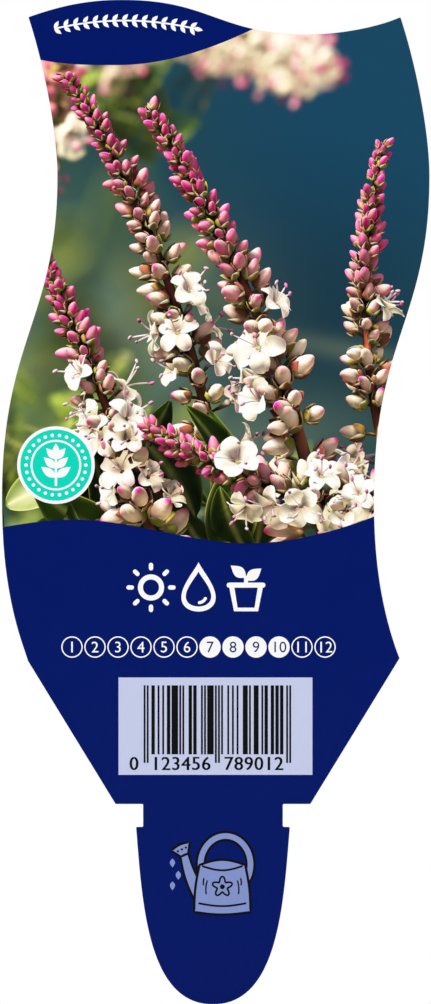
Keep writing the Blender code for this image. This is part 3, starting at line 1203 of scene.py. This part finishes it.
def soft_ground():
    """The picture's unsharp ground: a dusky teal slope of colours with far and near blurred plants."""
    haze = Haze()
    for patch in ((-18.0, 78.0, 20.0, 13.0, 0.4, (150, 168, 144)),
                  (-26.0, 96.0, 10.0, 16.0, 0.0, (84, 108, 92)),
                  (6.0, 62.0, 20.0, 7.0, 0.1, (112, 128, 112)),
                  (24.0, 77.0, 17.0, 2.0, -0.2, (104, 118, 100))):
        haze.glow(*patch)

    rng = np.random.default_rng(41)
    far = new_plant()
    scatter_leaves(far, rng, 36, (-42, -8), (50, 96), 14.0, 0.36)
    haze.lay(far, 3.4)

    middle = new_plant()
    grow_spike(middle, rng, (-8.0, 10.0, 140.0), (8.0, 9.0, 127.0), (20.0, 9.0, 125.0), 70, 1.3,
               open_until=0.8, open_share=0.7)
    grow_spike(middle, rng, (-54.0, 10.0, 108.0), (-30.0, 9.0, 128.0), (4.0, 9.0, 133.0), 80, 1.2,
               open_until=1.2, open_share=0.45, bud_share=0.4)
    scatter_leaves(middle, rng, 14, (-38, -6), (106, 120), 12.0, 0.5)
    scatter_leaves(middle, rng, 16, (-40, -14), (44, 70), 10.0, 0.26)
    haze.lay(middle, 1.0)

    near = new_plant()
    grow_spike(near, rng, (-42.0, 9.0, 92.0), (-28.0, 9.0, 112.0), (-24.0, 8.0, 134.0), 90, 1.25,
               open_until=0.6)
    scatter_leaves(near, rng, 12, (-36, 30), (42, 54), 16.0, 0.35)
    haze.lay(near, 0.55)
    return haze


# The picture as pieces on the sheet


class PictureEdges:
    """The picture's four sides: the sheet's cut line left and right, and the two printed waves."""

    def __init__(self, sheet):
        # The cut line is where the side wall meets the eased front edge
        points = points_of(sheet.data) / MM
        wall = (points[:, 1] > FRONT + 0.02) & (points[:, 1] < FRONT / 2)
        rim = np.unique(points[wall][:, (0, 2)].round(4), axis=0)
        rim = rim[rim[:, 1] > HEAD_LOW]
        rim = rim[np.argsort(np.arctan2(rim[:, 0], rim[:, 1] - HEAD_MIDDLE))]
        first = np.argmax(rim[:, 1] - rim[:, 0])
        last = np.argmax(rim[:, 1] + rim[:, 0])
        self.left_side = rim[:first + 1]
        self.top_side = rim[first:last + 1]
        self.right_side = rim[last:][::-1]

    def left(self, z):
        return np.interp(z, self.left_side[:, 1], self.left_side[:, 0])

    def right(self, z):
        return np.interp(z, self.right_side[:, 1], self.right_side[:, 0])

    def low(self, x):
        return wave(x, FIELD_BORDER)

    def high(self, x):
        cut = np.interp(x, self.top_side[:, 0], self.top_side[:, 1])
        return np.minimum(np.where(x > BAND_BORDER[-1][0], cut, wave(x, BAND_BORDER)), cut)

    def held(self, points):
        """The points, those outside moved straight onto the nearest side."""
        x, y, z = points.T
        for _ in range(3):
            z = np.clip(z, self.low(x), self.high(x))
            x = np.clip(x, self.left(z), self.right(z))
        return np.stack([x, y, z], 1)

    def holds(self, points):
        """True for the points inside the picture."""
        x, _, z = points.T
        return (x > self.left(z)) & (x < self.right(z)) & (z > self.low(x)) & (z < self.high(x))


def picture_piece(name, points, faces, colours, places, finish):
    """A smooth piece of the picture, with a colour and a place on its map for each point.

    It is lit as the flat face that it is printed on.
    """
    piece = mesh_piece("picture_" + name, points, faces, smooth=True)
    mesh = piece.data
    mesh.normals_split_custom_set_from_vertices(np.tile(VIEWER, (len(points), 1)))
    layer = mesh.attributes.new("print", "FLOAT_COLOR", "POINT")
    layer.data.foreach_set("color", np.insert(colours, 3, 1.0, axis=1).astype(np.float32).ravel())
    layer = mesh.uv_layers.new(name="OFBake")
    flat = places[read(mesh.loops, "vertex_index").ravel()]
    layer.data.foreach_set("uv", flat.astype(np.float32).ravel())
    finished(piece, finish)


def laid_singly(spots):
    """Places on a map where every tube lies flat in a square of its own.

    A point goes 0.36 cos a aside of the square's middle and 0.76 (share - 1/2) up from it.
    """
    tubes, number = np.unique(spots[:, 0], return_inverse=True)
    columns = math.ceil(math.sqrt(len(tubes)))
    square = np.stack([number % columns, number // columns], 1)
    return (square + 0.5 + (0.36, 0.76) * (spots[:, 1:] - (0.0, 0.5))) / columns


def print_ground(edges, finish):
    """The ground: a grid fitted between the four sides by letting x and z settle in turn.

    x = left(z) + u (right(z) - left(z)) and z = low(x) + v (high(x) - low(x)).
    """
    columns, rows = 240, 340
    u, v = np.meshgrid(*(np.concatenate([[0.0], np.linspace(HAIR, 1 - HAIR, count - 2), [1.0]])
                         for count in (columns, rows)))
    x, z = mixed(-33.0, 33.0, u), mixed(46.0, 130.0, v)
    for _ in range(30):
        x = mixed(edges.left(z), edges.right(z), u)
        z = mixed(edges.low(x), edges.high(x), v)
    rim = (u == 0) | (u == 1) | (v == 0) | (v == 1)
    y = np.where(rim, FRONT - SUNK, FRONT - PICTURE_GROUND)
    number = np.arange(rows * columns).reshape(rows, columns)
    quads = np.stack([number[:-1, :-1], number[:-1, 1:], number[1:, 1:], number[1:, :-1]], -1)
    points, places = (np.stack(parts, -1).reshape(-1, len(parts)) for parts in ((x, y, z), (u, v)))
    colours = developed(soft_ground().at(points[:, (0, 2)]))
    picture_piece("ground", points, [quads.reshape(-1, 4)], colours, places, finish)


def press_flat(name, kind, colours, edges, finish, singly=False):
    """Press one kind of part onto the sheet: its depth becomes a step of some hundredths of a mm.

    Rear faces lie a few thousandths behind the front ones. Faces wholly outside the picture are
    dropped, the rest end at its sides, and the farthest come first.
    """
    points = gathered([kind], "points")
    inside = edges.holds(points)
    kept = [faces[inside[faces].any(1)] for faces in kind.faces]
    used = np.zeros(len(points), bool)
    used[np.concatenate([faces.ravel() for faces in kept])] = True
    points = points[used]
    kept = [(np.cumsum(used) - 1)[faces] for faces in kept]
    kept = [faces[np.argsort(-points[faces, 1].mean(1))] for faces in kept]
    near = np.clip((FAR_DEPTH - points[:, 1]) / (FAR_DEPTH - NEAR_DEPTH), 0, 1)
    rear = 1 - eased(-0.1, 0.25, gathered([kind], "normals")[used] @ VIEWER)
    points[:, 1] = FRONT - mixed(PLANT_FURTHEST, PLANT_NEAREST, near) + PLANT_THICKNESS * rear
    points = edges.held(points)
    if singly:
        places = laid_singly(gathered([kind], "spots")[used])
    else:
        flat = points[:, (0, 2)]
        places = (flat - flat.min(0)) / np.ptp(flat, axis=0)
    picture_piece(name, points, kept, colours[used], places, finish)


# Camera, lights and the plain studio


def photo_camera():
    """Straight in front, with the label from edge to edge of the picture, as on a flat scan."""
    camera = bpy.data.cameras.new("camera")
    camera.type = "ORTHO"
    camera.ortho_scale = PHOTO_HEIGHT * PIXEL * MM
    viewer = placed("camera", camera)
    x = (PHOTO_WIDTH / 2 - ORIGIN_COLUMN) * PIXEL
    z = (ORIGIN_ROW - PHOTO_HEIGHT / 2) * PIXEL
    viewer.location = (x * MM, -1.0, z * MM)
    viewer.rotation_euler = (math.pi / 2, 0.0, 0.0)
    bpy.context.scene.camera = viewer


def lamp(name, place, size, power):
    """A soft square lamp that shines on the label's middle."""
    light = bpy.data.lights.new(name, "AREA")
    light.size = size
    light.energy = power
    thing = placed(name, light)
    thing.location = place
    way = LABEL_MIDDLE - thing.location
    thing.rotation_mode = "QUATERNION"
    thing.rotation_quaternion = way.to_track_quat("-Z", "Y")


def studio():
    """A pale floor, four soft lamps and a white surround that lights the label only dimly."""
    reach = 1600.0
    corners = [(-reach, -reach, LABEL_LOW), (reach, -reach, LABEL_LOW), (reach, reach, LABEL_LOW),
               (-reach, reach, LABEL_LOW)]
    floor = mesh_piece("studio_floor", corners, [np.array([[0, 1, 2, 3]])])
    floor.data.materials.append(Finish("pale_floor", (0.84, 0.84, 0.84), 0.7).material)

    for name, place, size, power in (("key_lamp", (-0.9, -1.1, 0.9), 0.7, 17.0),
                                     ("fill_lamp", (1.0, -1.1, 0.5), 0.9, 11.0),
                                     ("back_lamp_left", (-0.9, 1.1, 0.8), 0.8, 8.0),
                                     ("back_lamp_right", (1.0, 1.1, 0.6), 0.8, 8.0)):
        lamp(name, place, size, power)

    world = bpy.data.worlds.new("studio")
    world.use_nodes = True
    tree = world.node_tree
    surround, backdrop = tree.nodes["Background"], tree.nodes.new("ShaderNodeBackground")
    for background, strength in ((surround, 0.06), (backdrop, 1.0)):
        background.inputs["Color"].default_value = (1.0, 1.0, 1.0, 1.0)
        background.inputs["Strength"].default_value = strength
    ray = tree.nodes.new("ShaderNodeLightPath")
    blend = tree.nodes.new("ShaderNodeMixShader")
    for number, output in enumerate((ray.outputs["Is Camera Ray"], surround.outputs[0],
                                     backdrop.outputs[0])):
        tree.links.new(output, blend.inputs[number])
    tree.links.new(blend.outputs[0], tree.nodes["World Output"].inputs["Surface"])
    bpy.context.scene.world = world
    bpy.context.scene.view_settings.view_transform = "Standard"


photo_camera()
studio()

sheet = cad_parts["label_sheet"]
navy = plain_finish("navy_ink", NAVY)
sheet.data.materials[0] = navy
cut_edge(sheet, plain_finish("white_plastic", CORE_WHITE, gloss=0.4, mottle=0.08))

edges = PictureEdges(sheet)
print_ground(edges, picture_finish("picture_ground_print"))
plants = shrub()
colours = np.split(developed(light_growth(plants)), np.cumsum([kind.count for kind in plants.values()]))
for (name, kind), printed in zip(plants.items(), colours):
    press_flat(name, kind, printed, edges, picture_finish(name + "_print"), singly=name == "sepals")

white = plain_finish("white_ink", WHITE, mottle=0.03)
band_sprig(white)
care_row(white)
month_strip(white, navy)
bar_code_panel(plain_finish("lilac_ink", PANEL), plain_finish("black_ink", BLACK))
round_badge(white, plain_finish("turquoise_ink", TURQUOISE))
stake_emblem(plain_finish("periwinkle_ink", PERIWINKLE), plain_finish("black_line_ink", BLACK))
